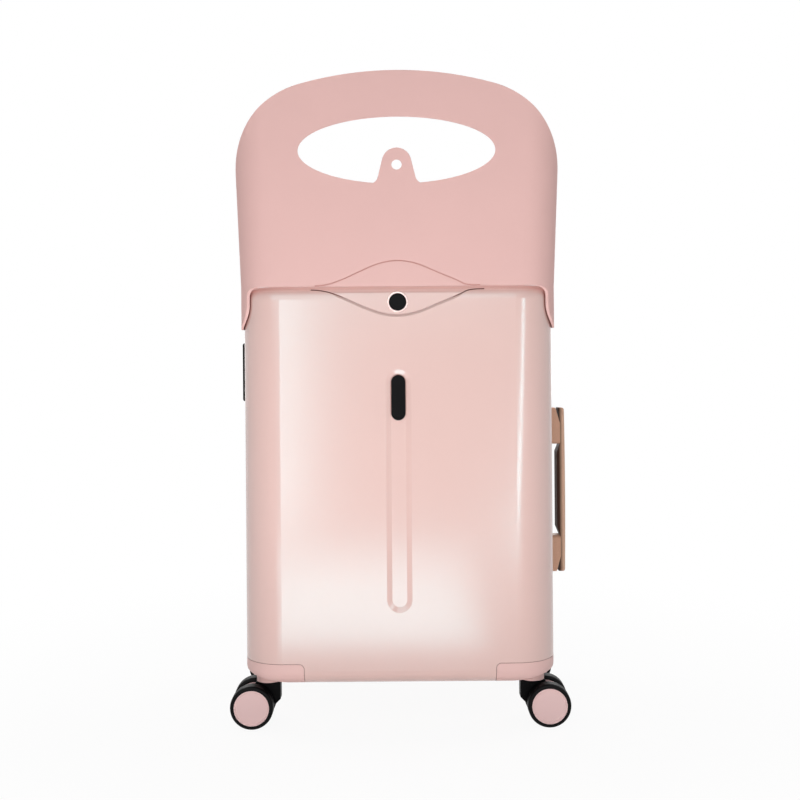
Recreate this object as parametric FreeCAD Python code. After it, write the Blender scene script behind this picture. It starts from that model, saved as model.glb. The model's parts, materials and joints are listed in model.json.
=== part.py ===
"""Ride-on suitcase: a hard-shell cabin case whose fold-up panel makes a back rest and a grab loop.

Millimetres, +Z up, origin on the floor below the middle of the case, front of the case towards -Y.
"""
import FreeCAD, Part
import math
import os

V = FreeCAD.Vector
X_AXIS = V(1, 0, 0)
Y_AXIS = V(0, 1, 0)
Z_AXIS = V(0, 0, 1)

# General
overrun = 2.0            # how far a cut runs past the face that it opens
seam = 0.4               # visible joint between two fixed pieces
running = 0.05           # radial play of a pin in its bore
play = 0.4               # play of a piece that slides or turns past another

# Case
case_width = 356.0
case_depth = 260.0
case_foot = 56.0         # underside above the floor
case_top = 506.0
plan_radius = 45.0       # upright corners, seen from above
edge_radius = 16.0       # top and bottom edges
wall = 3.2
lid_depth = 88.0         # front face to the middle of the zip
zip_opening = 9.0        # between the rims of the two shells

# Zip
tape_thickness = 1.4
tape_lap = 7.0           # tape sewn inside each shell
chain_width = 2.6        # one row of teeth
chain_height = 3.0

# Front of the lid
wave_half_width = 98.0
wave_foot = 7.5          # ends of the dipping line, below the top of the case
wave_drop = 28.5
wave_depth = 1.6
wave_slope = 2.2         # width of the slope below the set-back area
line_width = 1.2         # fine grooves of the lid and the panel
wave_line_depth = 2.3
groove_width = 28.6
groove_floor_width = 16.6
groove_depth = 2.4
groove_backing = 1.8     # wall behind the floor of the flute
groove_top = 411.0
groove_bottom = 137.0
badge_width = 16.0
badge_height = 51.0
badge_thickness = 1.6

# Release button
button_drop = 19.0       # below the top of the case
button_radius = 9.6
button_length = 11.0
button_proud = 1.8
button_stroke = 3.0
button_dome = 0.7
bezel_width = 1.2
bezel_proud = 1.0
cup_wall = 1.2
cup_flange = 3.0
spring_seat = 1.0        # hollow in the back of the button
spring_radius = 5.4
spring_wall = 0.7
spring_fold = 1.3        # depth of one fold of the bellows
spring_folds = 3
spring_closed = 3.2      # length of the bellows with the button pressed

# Corner guards and casters
guard_width = 70.0
guard_height = 24.0
guard_round = 6.0
guard_hollow = 26.0      # rise of the underside towards the swivel axis
stem_radius = 14.0
stem_bottom = 50.4
stem_inset = 25.0        # swivel axis from the side of the case
stem_setback = 45.0      # swivel axis from the front or rear face
kingpin_radius = 4.0
kingpin_top = 74.0
screw_radius = 2.0
screw_head_radius = 4.0
screw_head_height = 2.4
screw_length = 12.0
screw_inset = 12.0       # screw from the inner edges of a guard

# Wheels
wheel_radius = 24.8
wheel_width = 17.5
wheel_spacing = 36.0     # between the middles of a pair
wheel_trail = 17.5       # axle from the swivel axis
wheel_edge = 3.2
hub_radius = 20.2
hub_dish = 0.8
hub_dish_radius = 18.0
axle_radius = 3.0
axle_end_inset = 3.0
fork_gap = 1.75          # between the fork and each wheel
fork_disc_radius = 9.0
fork_disc_thickness = 1.6
fork_hub_radius = 10.5
fork_foot = 30.0         # lower edge of the upright part of the fork
fork_chamfer = 5.0

# Fold-up panel
panel_thickness = 2.4
panel_lap = 1.0          # lower edge of the panel below the top of the case
panel_top = 748.0
panel_crown_radius = 410.0
panel_corner_radius = 104.0
panel_half_width = 186.2  # at the shoulders
panel_bend_radius = 40.0  # upright bends, outside, seen from above
flange_gap = 0.6         # between the case side and a wing
fold_rise = 20.5         # outside of the folded panel above the top of the case
pivot_drop = 21.0        # pivot below the top of the case
pivot_radius = 4.0
pivot_head_radius = 6.0
pivot_head_thickness = 4.0
bush_wall = 2.0
wing_radius = 27.5       # round lower end of each wing, about the pivot
wing_fillet = 11.0       # from the lower edge of the panel into a wing
wing_tip_height = 660.0  # the rear edge of a wing runs into the arch here
wing_bulge = 9.3         # of that edge, off the straight
bell_half_width = 93.0
bell_height = 28.0
bell_depth = 1.0

# Hand hole of the panel
oval_height = 658.0
oval_half_width = 111.4
oval_half_height = 37.9
tab_top = 660.7
tab_radius = 16.7
tab_lean = math.radians(14)  # each side of the tab off the upright
tab_root_radius = 10.0
tab_hole_radius = 5.8
tab_hole_drop = 19.0

# Telescopic handle
trolley_setback = 31.0   # tubes in front of the rear face
tube_spread = 50.0       # tube axis from the middle
outer_tube_radius = 11.0
middle_tube_radius = 9.5
inner_tube_radius = 8.0
tube_wall = 1.3          # innermost tube
tube_play = 0.2
tube_floor = 66.0
tube_step = 4.0          # each stage ends this far above the one round it
pocket_depth = 30.0
pocket_floor = 3.5
pocket_wall = 2.0
pocket_length = 160.0
pocket_front = 17.0      # finger room in front of the tube axis
pocket_rear = 13.0
collar_lip = 5.0
collar_thickness = 1.2
guide_radius = 12.0
guide_height = 3.5
grip_length = 146.0
grip_width = 21.0
grip_height = 23.0
grip_round = 8.0
grip_drop = 22.0         # underside of the grip below the top of the case
thumb_length = 30.0
thumb_width = 11.0
thumb_height = 6.0
thumb_proud = 1.6
thumb_stroke = 3.0
foot_length = 136.0
foot_width = 29.0
foot_plug = 3.0

# Lock
lock_middle = 408.0
lock_height = 70.0
lock_width = 30.0
lock_proud = 10.0
lock_round = 3.0
lock_setback = 2.0       # behind the rim of the main shell
dial_radius = 5.0
dial_width = 5.4
dial_pitch = 8.0
dial_count = 3
dial_proud = 1.0
dial_shift = 13.5        # row of dials above the middle of the lock
dial_shaft_radius = 1.5
dial_shaft_seat = 1.8    # each end of the shaft in the lock
catch_length = 12.0
catch_width = 10.0
catch_thickness = 3.0
catch_proud = 1.0
catch_stroke = 5.0
catch_drop = 17.0
barrel_radius = 4.2
barrel_depth = 6.0
barrel_drop = 3.5
keyway_width = 1.2
keyway_depth = 2.0
keyway_share = 0.6       # of the barrel's diameter

# Zip pulls
pull_width = 7.0
pull_thickness = 2.2
pull_spacing = 18.0

# Side handle
handle_middle = 261.5
handle_length = 200.0
handle_setback = 32.0    # behind the middle of the zip
handle_reach = 25.2      # outer face from the side of the case
handle_bow = 0.8         # ends of the bar, back from its middle
handle_thickness = 5.4   # of the bar on its feet
handle_bulge = 4.1       # padded middle of the bar, in from its feet
handle_ramp = 10.0       # from a foot to the padded middle, along the bar
handle_tip = 1.9         # extra thickness at the tips of the bar
handle_width = 22.0
handle_round = 2.5
block_height = 44.0
block_slant = 18.8       # slanted far end of a foot, along the bar
block_fall = 5.2         # that end, away from the bar
block_width = 24.0
block_round = 4.0

# Derived places
half_width = case_width / 2
half_depth = case_depth / 2
front = -half_depth
zip_plane = front + lid_depth
lid_rim = zip_plane - zip_opening / 2
main_rim = zip_plane + zip_opening / 2
pivot_height = case_top - pivot_drop
pivot_depth = front + pivot_drop + fold_rise
panel_bottom = case_top - panel_lap
flange_inside = half_width + flange_gap
flange_outside = flange_inside + panel_thickness
stem_x = half_width - stem_inset
stem_y = half_depth - stem_setback
trolley_depth = half_depth - trolley_setback
handle_depth = zip_plane + handle_setback
handle_seat = half_width + handle_reach - handle_bow - handle_thickness
pocket_base = case_top - pocket_depth
grip_bottom = case_top - grip_drop
button_height = case_top - button_drop
fork_thickness = wheel_spacing - wheel_width - 2 * fork_gap
cup_depth = button_length - button_proud + button_stroke + spring_closed + cup_wall


def block(x0, x1, y0, y1, z0, z1):
    """Box between two corners."""
    return Part.makeBox(x1 - x0, y1 - y0, z1 - z0, V(x0, y0, z0))


def rod(radius, start, end):
    """Round bar between two points."""
    axis = end.sub(start)
    return Part.makeCylinder(radius, axis.Length, start, axis)


def rod_y(radius, x, z, y0, y1):
    """Round bar along Y."""
    return rod(radius, V(x, y0, z), V(x, y1, z))


def rod_z(radius, x, y, z0, z1):
    """Upright round bar."""
    return rod(radius, V(x, y, z0), V(x, y, z1))


def block_about(x, y, width, depth, z0, z1):
    """Box about an upright axis."""
    return block(x - width / 2, x + width / 2, y - depth / 2, y + depth / 2, z0, z1)


def tube(outer, inner, start, end):
    """Round tube between two points."""
    return rod(outer, start, end).cut(rod(inner, start, end))


def straight_along(edge, axis):
    """True for a straight edge that runs along the axis."""
    if edge.Curve.TypeId != "Part::GeomLine":
        return False
    return edge.tangentAt(edge.FirstParameter).cross(axis).Length < 1e-6


def round_along(shape, radius, axis):
    """Fillet every straight edge that runs along the axis."""
    return shape.makeFillet(radius, [e for e in shape.Edges if straight_along(e, axis)])


def edges_level(shape, height):
    """Edges that lie flat at one height."""
    def lies(edge):
        return abs(edge.BoundBox.ZMin - height) + abs(edge.BoundBox.ZMax - height) < 1e-4
    return [e for e in shape.Edges if lies(e)]


def edges_across(shape, depth):
    """Edges that lie in one upright plane across the depth."""
    def lies(edge):
        return abs(edge.BoundBox.YMin - depth) + abs(edge.BoundBox.YMax - depth) < 1e-4
    return [e for e in shape.Edges if lies(e)]


def mirrored_x(shape):
    return shape.mirror(V(0, 0, 0), X_AXIS)


def mirrored_y(shape):
    return shape.mirror(V(0, 0, 0), Y_AXIS)


def joined(shapes):
    """One compound of separate solids."""
    return Part.makeCompound(list(shapes))


def prism_y(edges, y0, y1):
    """Solid of a closed outline in an XZ plane, run along Y."""
    face = Part.Face(Part.Wire(Part.__sortEdges__(edges)))
    face.translate(V(0, y0, 0))
    return face.extrude(V(0, y1 - y0, 0))


def sloped_y(edges, y0, y1, reach, slope):
    """As prism_y, with a steady shift in height: none at the depth reach, and the slope at y1."""
    face = Part.Face(Part.Wire(Part.__sortEdges__(edges)))
    steepness = slope / (y1 - reach)
    face.translate(V(0, y0, steepness * (y0 - reach)))
    return face.extrude(V(0, y1 - y0, steepness * (y1 - y0)))


def polygon_xz(points):
    """Edges of a closed polygon in the XZ plane."""
    corners = [V(x, 0, z) for x, z in points]
    return [Part.makeLine(a, b) for a, b in zip(corners, corners[1:] + corners[:1])]


def arc(a, b, c):
    return Part.Arc(a, b, c).toShape()


def bell_curve(half_span, base, rise, count=9, spans=14):
    """Smooth curve in the XZ plane: level at both ends and at its middle, raised by rise there."""
    points = []
    for i in range(count):
        t = i / (count - 1)
        points.append(V((2 * t - 1) * half_span, 0, base + rise * math.sin(math.pi * t) ** 2))
    curve = Part.BSplineCurve()
    curve.interpolate(points, InitialTangent=X_AXIS, FinalTangent=X_AXIS)
    first, last = curve.FirstParameter, curve.LastParameter
    cuts = [first + (last - first) * i / spans for i in range(spans + 1)]
    return [curve.toShape(a, b) for a, b in zip(cuts, cuts[1:])]


# Shells

def case_body(inset):
    """The case as one rounded block, drawn in by the inset."""
    w = half_width - inset
    d = half_depth - inset
    body = block(-w, w, -d, d, case_foot + inset, case_top - inset)
    body = round_along(body, plan_radius - inset, Z_AXIS)
    rims = edges_level(body, case_foot + inset) + edges_level(body, case_top - inset)
    return body.makeFillet(edge_radius - inset, rims)


def corner_region(side, end, grow):
    """Space of one lower corner; side is -1 for left, end is -1 for the front."""
    x0 = half_width - guard_width - grow
    y0 = half_depth - guard_width - grow
    top = case_foot + guard_height + grow
    region = block(x0, half_width + overrun, y0, half_depth + overrun, case_foot - overrun, top)
    inner = [e for e in edges_level(region, top)
             if e.CenterOfMass.x < half_width and e.CenterOfMass.y < half_depth
             and (abs(e.CenterOfMass.x - x0) < 1e-4 or abs(e.CenterOfMass.y - y0) < 1e-4)]
    inner += [e for e in region.Edges if straight_along(e, Z_AXIS)
              and abs(e.CenterOfMass.x - x0) < 1e-4 and abs(e.CenterOfMass.y - y0) < 1e-4]
    region = region.makeFillet(guard_round + grow, inner)
    if side < 0:
        region = mirrored_x(region)
    if end < 0:
        region = mirrored_y(region)
    return region


def shell_half(end):
    """Lid (end -1) or main shell (end 1): a wall that steps in round its two caster corners."""
    skin = case_body(0)
    space = case_body(wall)
    for side in (-1, 1):
        skin = skin.cut(corner_region(side, end, 0))
        space = space.cut(corner_region(side, end, wall))
    whole = skin.cut(space)
    big = case_width
    if end < 0:
        return whole.common(block(-big, big, front - overrun, lid_rim, 0, case_top + overrun))
    return whole.common(block(-big, big, main_rim, half_depth + overrun, 0, case_top + overrun))


def wave_curve():
    """Dipping line across the front of the lid."""
    return bell_curve(wave_half_width, case_top - wave_foot, -wave_drop)


def wave_pocket():
    """Set-back area above the dipping line on the front of the lid."""
    a = V(-wave_half_width, 0, case_top - wave_foot)
    b = V(wave_half_width, 0, case_top - wave_foot)
    up = V(0, 0, edge_radius)
    sides = [Part.makeLine(b, b + up), Part.makeLine(b + up, a + up), Part.makeLine(a + up, a)]
    return sloped_y(wave_curve() + sides, front - overrun, front + wave_depth, front, wave_slope)


def line_band(curve, y0, y1):
    """Band of the width of a fine groove above a curve, run along Y."""
    above = [edge.translated(V(0, 0, line_width)) for edge in curve]
    ends = [Part.makeLine(curve[i].Vertexes[i].Point, above[i].Vertexes[i].Point) for i in (0, -1)]
    return prism_y(curve + above + ends, y0, y1)


def wave_line():
    """Fine groove at the foot of the set-back area; its ends run up the rounded top edge."""
    curve = [edge.translated(V(0, 0, wave_slope)) for edge in wave_curve()]
    return line_band(curve, front - overrun, front + edge_radius / 2).cut(case_body(wave_line_depth))


def stadium_y(width, top, bottom, y):
    """Closed outline of a slot with round ends, upright in the plane at depth y."""
    r = width / 2
    left_low = V(-r, y, bottom + r)
    right_low = V(r, y, bottom + r)
    left_high = V(-r, y, top - r)
    right_high = V(r, y, top - r)
    return Part.Wire([
        Part.makeLine(left_low, left_high),
        arc(left_high, V(0, y, top), right_high),
        Part.makeLine(right_high, right_low),
        arc(right_low, V(0, y, bottom), left_low),
    ])


def groove():
    """Long tapered flute down the front of the lid."""
    slope = (groove_width - groove_floor_width) / 2
    flare = slope * overrun / groove_depth
    outer = stadium_y(groove_width + 2 * flare, groove_top + flare, groove_bottom - flare, front - overrun)
    floor = stadium_y(groove_floor_width, groove_top - slope, groove_bottom + slope, front + groove_depth)
    return Part.makeLoft([outer, floor], True, True)


def groove_back():
    """Wall that follows the flute on the inside."""
    start = wall / 2
    face = Part.Face(stadium_y(groove_width, groove_top, groove_bottom, front + start))
    return face.extrude(V(0, groove_depth + groove_backing - start, 0))


def badge_top():
    slope = (groove_width - groove_floor_width) / 2
    return groove_top - slope - (groove_floor_width - badge_width) / 2


def badge_plate():
    """Bare oval plate in the head of the flute."""
    top = badge_top()
    face = Part.Face(stadium_y(badge_width, top, top - badge_height, front + groove_depth))
    return face.extrude(V(0, -badge_thickness, 0))


def front_shell():
    shell = shell_half(-1)
    shell = shell.cut(wave_pocket()).cut(wave_line())
    shell = shell.fuse(groove_back()).cut(groove())
    shell = shell.cut(rod_y(sleeve_radius(), 0, button_height, front - overrun, front + 2 * wall))
    for side in (-1, 1):
        shell = shell.cut(pivot_bore(side, pivot_radius))
        for x, y in screw_places(side, -1):
            shell = shell.cut(screw_bore(x, y))
    return shell


def main_shell():
    shell = shell_half(1)
    shell = shell.cut(pocket_block(pocket_wall, overrun))
    for side in (-1, 1):
        for x, y in screw_places(side, 1):
            shell = shell.cut(screw_bore(x, y))
    return shell


# Zip

def frame_ring(outer_inset, inner_inset, y0, y1):
    """Ring that follows the case wall, between two insets and two depths."""
    def slab(inset):
        w = half_width - inset
        piece = block(-w, w, y0, y1, case_foot + inset, case_top - inset)
        return round_along(piece, edge_radius - inset, Y_AXIS)
    return slab(outer_inset).cut(slab(inner_inset))


def zip_half(end):
    """Tape with its row of teeth; end -1 is the lid's half."""
    near = seam / 2
    tape_out = zip_opening / 2 + tape_lap
    tape = frame_ring(wall, wall + tape_thickness, near, tape_out)
    teeth = frame_ring(wall - chain_height, wall, near, near + chain_width)
    half = tape.fuse(teeth).removeSplitter()
    if end < 0:
        half = mirrored_y(half)
    half.translate(V(0, zip_plane, 0))
    return half


def zip_pulls():
    """Two slider bodies parked at the lock, with tabs that reach to it."""
    pieces = []
    outside = -half_width - seam / 2
    for step in (-0.5, 0.5):
        z = lock_middle + step * pull_spacing
        near = zip_plane - chain_width - seam
        far = main_rim + lock_setback - seam / 2
        body = block(outside - pull_thickness, outside, near, far, z - pull_width / 2, z + pull_width / 2)
        pieces.append(round_along(body, pull_thickness / 3, Z_AXIS))
    return joined(pieces)


# Release button

def sleeve_radius():
    return button_radius + play + cup_wall


def button_bezel():
    """Bright ring round the button, on the set-back face."""
    face = front + wave_depth
    outer = sleeve_radius() + bezel_width / 2
    ring = rod_y(outer, 0, button_height, face - bezel_proud, face)
    ring = ring.makeFillet(bezel_proud / 2, edges_across(ring, face - bezel_proud))
    return ring.cut(rod_y(button_radius + play, 0, button_height, face - overrun, face + overrun))


def button_cup():
    """Guide behind the bezel, with a closed end for the spring and a flange on the inner wall."""
    face = front + wave_depth
    back = face + cup_depth
    outer = sleeve_radius() - running
    body = rod_y(outer, 0, button_height, face, back)
    inner = front + wall
    flange = rod_y(outer + cup_flange, 0, button_height, inner, inner + cup_wall)
    body = body.fuse(flange.common(case_body(wall)))
    bore = rod_y(button_radius + play, 0, button_height, face - overrun, back - cup_wall)
    return body.cut(bore).removeSplitter()


def release_button():
    face = front + wave_depth - button_proud
    back = face + button_length
    shape = rod_y(button_radius, 0, button_height, face, back)
    shape = shape.makeFillet(button_dome, edges_across(shape, face))
    seat = spring_radius + play
    return shape.cut(rod_y(seat, 0, button_height, back - spring_seat, back + overrun))


def button_spring():
    """Rubber bellows between the button and the end of its cup."""
    start = front + wave_depth - button_proud + button_length - spring_seat
    end = front + wave_depth + cup_depth - cup_wall
    half_fold = (end - start) / (2 * spring_folds)
    outside = []
    for i in range(2 * spring_folds + 1):
        radius = spring_radius - (i % 2) * spring_fold
        outside.append(V(radius, start + i * half_fold, 0))
    inside = [p - V(spring_wall, 0, 0) for p in reversed(outside)]
    loop = outside + inside
    profile = Part.Face(Part.makePolygon(loop + loop[:1]))
    solid = profile.revolve(V(0, 0, 0), Y_AXIS, 360)
    solid.translate(V(0, 0, button_height))
    return solid


# Corner guards and casters

def stem_place(side, end):
    return side * stem_x, end * stem_y


def screw_places(side, end):
    """Two screws through the roof of a caster corner."""
    inner_x = half_width - guard_width + screw_inset
    inner_y = half_depth - guard_width + screw_inset
    return [(side * inner_x, end * stem_y), (side * stem_x, end * inner_y)]


def screw_bore(x, y):
    roof = case_foot + guard_height
    return rod_z(screw_radius + running, x, y, roof - overrun, roof + wall + overrun)


def guard_underside(side, end):
    """Shallow cone under a guard, which leaves its round stem standing clear."""
    x, y = stem_place(side, end)
    reach = guard_width - stem_inset
    rise = guard_hollow + overrun
    return Part.makeCone(reach * rise / guard_hollow, 0, rise, V(x, y, case_foot - overrun))


def corner_guard(side, end):
    """Moulded lower corner with the round stem that carries the caster."""
    body = case_body(0).common(shrunk_region(side, end)).cut(guard_underside(side, end))
    x, y = stem_place(side, end)
    roof = case_foot + guard_height
    body = body.fuse(rod_z(stem_radius, x, y, stem_bottom, roof - seam))
    body = body.cut(rod_z(kingpin_radius + running, x, y, stem_bottom - overrun, kingpin_top + seam))
    for sx, sy in screw_places(side, end):
        body = body.cut(rod_z(screw_radius, sx, sy, roof + wall - screw_length, roof + overrun))
    return body.removeSplitter()


def shrunk_region(side, end):
    return corner_region(side, end, -seam)


def guard_screws(end):
    """Screws from inside the case into its two guards."""
    roof = case_foot + guard_height + wall
    pieces = []
    for side in (-1, 1):
        for x, y in screw_places(side, end):
            shank = rod_z(screw_radius, x, y, roof - screw_length, roof)
            head = rod_z(screw_head_radius, x, y, roof, roof + screw_head_height)
            head = head.makeFillet(screw_head_height / 3, edges_level(head, roof + screw_head_height))
            pieces.append(shank.fuse(head).removeSplitter())
    return joined(pieces)


def axle_place(side, end):
    """Axle middle; the pair of wheels trails outwards."""
    x, y = stem_place(side, end)
    return V(x + side * wheel_trail, y, wheel_radius)


def caster_fork(side, end):
    """Web between the two wheels, under a round swivel plate."""
    x, y = stem_place(side, end)
    top = stem_bottom - play
    plate = rod_z(fork_disc_radius, x, y, top - fork_disc_thickness, top)
    centre = axle_place(side, end)
    near = y - fork_thickness / 2
    far = y + fork_thickness / 2
    lower = wheel_radius - fork_hub_radius
    outline = [
        (-stem_radius, top), (-stem_radius, fork_foot),
        (fork_chamfer - stem_radius, fork_foot - fork_chamfer), (wheel_trail, lower),
        (wheel_trail + fork_hub_radius, wheel_radius), (stem_radius, top),
    ]
    web = prism_y(polygon_xz([(x + side * out, z) for out, z in outline]), near, far)
    boss = rod_y(fork_hub_radius, centre.x, centre.z, near, far)
    fork = plate.fuse([web, boss]).removeSplitter()
    fork = fork.cut(rod_y(axle_radius + running, centre.x, centre.z, near - overrun, far + overrun))
    return fork.cut(rod_z(kingpin_radius, x, y, fork_foot + fork_chamfer, top + overrun))


def kingpin(side, end):
    x, y = stem_place(side, end)
    return rod_z(kingpin_radius, x, y, fork_foot + fork_chamfer, kingpin_top)


def wheel_profile(points):
    """Solid of a half outline, radius against width, turned about the Y axis."""
    corners = [V(r, w, 0) for r, w in points]
    face = Part.Face(Part.makePolygon(corners + corners[:1]))
    return face.revolve(V(0, 0, 0), Y_AXIS, 360)


def both_wheels(side, end, make):
    """A wheel piece at both ends of an axle, outer faces apart."""
    near = make()
    near.translate(V(0, -wheel_spacing / 2, 0))
    pair = [near, mirrored_y(near)]
    for piece in pair:
        piece.translate(axle_place(side, end))
    return joined(pair)


def tyre():
    half = wheel_width / 2
    ring = tube(wheel_radius, hub_radius, V(0, -half, 0), V(0, half, 0))
    outer = [e for e in edges_across(ring, -half) + edges_across(ring, half)
             if e.BoundBox.XLength > wheel_radius + hub_radius]
    return ring.makeFillet(wheel_edge, outer)


def hub():
    half = wheel_width / 2
    return wheel_profile([
        (axle_radius, -half + axle_end_inset), (0, -half + axle_end_inset), (0, -half + hub_dish),
        (hub_dish_radius, -half + hub_dish), (hub_dish_radius + hub_dish, -half), (hub_radius, -half),
        (hub_radius, half), (axle_radius, half),
    ])


def wheel_axle(side, end):
    centre = axle_place(side, end)
    reach = V(0, wheel_spacing / 2 + wheel_width / 2 - axle_end_inset, 0)
    return rod(axle_radius, centre - reach, centre + reach)


# Fold-up panel

def shoulder():
    """Centre of the arch's right corner, and the angle at which the corner meets the crown."""
    crown_centre = panel_top - panel_crown_radius
    x = panel_half_width - panel_corner_radius
    reach = panel_crown_radius - panel_corner_radius
    z = crown_centre + math.sqrt(reach ** 2 - x ** 2)
    return V(x, 0, z), math.atan2(z - crown_centre, x)


def panel_arch():
    """Space under the arch, seen from the front."""
    centre, tangent = shoulder()

    def on_corner(angle):
        return centre + V(math.cos(angle), 0, math.sin(angle)) * panel_corner_radius

    def flip(p):
        return V(-p.x, p.y, p.z)
    low = pivot_height - wing_radius - overrun
    side, half, meet = on_corner(0), on_corner(tangent / 2), on_corner(tangent)
    foot = V(side.x, 0, low)
    edges = [Part.makeLine(foot, side), arc(side, half, meet), arc(meet, V(0, 0, panel_top), flip(meet)),
             arc(flip(meet), flip(half), flip(side)), Part.makeLine(flip(side), flip(foot)),
             Part.makeLine(flip(foot), foot)]
    return prism_y(edges, front - overrun, pivot_depth + wing_radius + overrun)


def panel_half(z):
    """Half width over the wings, which flare above the case."""
    flare = (panel_half_width - flange_outside) / (shoulder()[0].z - panel_bottom)
    return flange_outside + flare * max(0, z - panel_bottom)


def wing_tip():
    """Place on the outside of a bend where the wing's rear edge meets the arch, seen from the side."""
    centre = shoulder()[0]
    arch_x = centre.x + math.sqrt(panel_corner_radius ** 2 - (wing_tip_height - centre.z) ** 2)
    across = arch_x - panel_half(wing_tip_height) + panel_bend_radius
    return V(0, front + panel_bend_radius - math.sqrt(panel_bend_radius ** 2 - across ** 2), wing_tip_height)


def bent_section(half, inset, z):
    """Outline of the bent panel from above, closed behind the wings and drawn in by the inset."""
    w = half - inset
    f = front + inset
    r = panel_bend_radius - inset
    back = pivot_depth + wing_radius + overrun
    turn = r * math.sqrt(0.5)

    def bend(side):
        return arc(V(side * w, f + r, z), V(side * (w - r + turn), f + r - turn, z), V(side * (w - r), f, z))
    lines = [(V(-w, back, z), V(-w, f + r, z)), (V(r - w, f, z), V(w - r, f, z)),
             (V(w, f + r, z), V(w, back, z)), (V(w, back, z), V(-w, back, z))]
    edges = [Part.makeLine(a, b) for a, b in lines] + [bend(-1), bend(1)]
    return Part.Wire(Part.__sortEdges__(edges))


def bent_block(inset):
    """Upright block with the panel's bends, which flares above the case."""
    low = pivot_height - wing_radius - overrun
    high = panel_top + overrun
    below = Part.makeLoft([bent_section(flange_outside, inset, low),
                           bent_section(flange_outside, inset, panel_bottom)], True, True)
    above = Part.makeLoft([bent_section(flange_outside, inset, panel_bottom),
                           bent_section(panel_half(high), inset, high)], True, True)
    return below.fuse(above)


def side_profile():
    """Space that the panel fills, seen from the side: deep wings that narrow upwards to the bends."""
    back = pivot_depth + wing_radius
    wing_front = pivot_depth - wing_radius
    near = front - overrun
    inner = V(0, wing_front - wing_fillet, panel_bottom)
    outer = V(0, wing_front, panel_bottom - wing_fillet)
    turn = wing_fillet * math.sqrt(0.5)
    tip = wing_tip()
    knee = V(0, back, panel_bottom)
    bulge = X_AXIS.cross(tip - knee).normalize() * -wing_bulge
    neck = (tip + knee) * 0.5 + bulge
    points = [inner, V(0, near, panel_bottom), V(0, near, panel_top + overrun),
              V(0, tip.y, panel_top + overrun), tip]
    edges = [Part.makeLine(a, b) for a, b in zip(points, points[1:])]
    edges.append(arc(tip, neck, knee))
    edges.append(Part.makeLine(knee, V(0, back, pivot_height)))
    lowest = V(0, pivot_depth, pivot_height - wing_radius)
    edges.append(arc(V(0, back, pivot_height), lowest, V(0, wing_front, pivot_height)))
    edges.append(Part.makeLine(V(0, wing_front, pivot_height), outer))
    edges.append(arc(outer, V(0, inner.y + turn, outer.z + turn), inner))
    face = Part.Face(Part.Wire(Part.__sortEdges__(edges)))
    reach = case_width
    face.translate(V(-reach, 0, 0))
    return face.extrude(V(2 * reach, 0, 0))


def hand_hole():
    """Wide oval with the hanging tab left standing in its lower edge."""
    centre = V(0, 0, oval_height)
    oval = Part.Ellipse(V(oval_half_width, 0, oval_height), V(0, 0, oval_height + oval_half_height), centre)
    through = Part.Face(Part.Wire(oval.toShape())).extrude(V(0, panel_thickness + 2 * overrun, 0))
    tab_centre = V(0, 0, tab_top - tab_radius)
    root = oval_height - oval_half_height
    root_z = root + tab_root_radius
    out = V(math.cos(tab_lean), 0, math.sin(tab_lean))
    reach = tab_radius + tab_root_radius - (root_z - tab_centre.z) * out.z
    root_centre = V(reach / out.x, 0, root_z)
    touch = tab_centre + out * tab_radius
    knee = root_centre - out * tab_root_radius
    turn = (out + Z_AXIS).normalize() * tab_root_radius
    foot = root_centre - Z_AXIS * tab_root_radius
    low = foot - Z_AXIS * tab_root_radius

    def on_side(p, side):
        return V(side * p.x, p.y, p.z)
    edges = [arc(touch, V(0, 0, tab_top), on_side(touch, -1)), Part.makeLine(low, on_side(low, -1))]
    for side in (-1, 1):
        a, b, c, d, e = [on_side(p, side) for p in (touch, knee, root_centre - turn, foot, low)]
        edges += [Part.makeLine(a, b), arc(b, c, d), Part.makeLine(d, e)]
    tab = prism_y(edges, 0, panel_thickness + 2 * overrun)
    hole = through.cut(tab)
    hole = hole.fuse(rod(tab_hole_radius, V(0, 0, tab_top - tab_hole_drop),
                         V(0, panel_thickness + 2 * overrun, tab_top - tab_hole_drop)))
    hole.translate(V(0, front - overrun, 0))
    return hole


def bell_line():
    """Fine groove that rises in the middle of the panel's foot."""
    curve = bell_curve(bell_half_width, panel_bottom, bell_height)
    return line_band(curve, front - overrun, front + bell_depth)


def pivot_bore(side, radius):
    """Bore across one side wall and the flange outside it."""
    return rod(radius, V(side * (half_width - plan_radius), pivot_depth, pivot_height),
               V(side * (flange_outside + overrun), pivot_depth, pivot_height))


def backrest_panel():
    """Arched sheet bent round the case's corners, with a hand hole and two wings down to the pivots."""
    body = bent_block(0).cut(bent_block(panel_thickness))
    body = body.common(panel_arch()).common(side_profile())
    body = body.cut(hand_hole()).cut(bell_line())
    for side in (-1, 1):
        body = body.cut(pivot_bore(side, pivot_radius + running + bush_wall))
    return body.removeSplitter()


def panel_bushes():
    pieces = []
    for side in (-1, 1):
        start = V(side * flange_inside, pivot_depth, pivot_height)
        end = V(side * (flange_outside - seam), pivot_depth, pivot_height)
        pieces.append(tube(pivot_radius + running + bush_wall, pivot_radius + running, start, end))
    return joined(pieces)


def pivot_pins():
    """Headed pins through the lid's side walls, which the panel turns on."""
    pieces = []
    into = max(0, front + plan_radius - pivot_depth + pivot_head_radius)
    inner = half_width - plan_radius + math.sqrt((plan_radius - wall) ** 2 - into ** 2)
    for side in (-1, 1):
        head = rod(pivot_head_radius, V(side * (inner - pivot_head_thickness), pivot_depth, pivot_height),
                   V(side * inner, pivot_depth, pivot_height))
        shank = rod(pivot_radius, V(side * inner, pivot_depth, pivot_height),
                    V(side * (flange_outside - seam), pivot_depth, pivot_height))
        pieces.append(head.fuse(shank).removeSplitter())
    return joined(pieces)


# Telescopic handle

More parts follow.
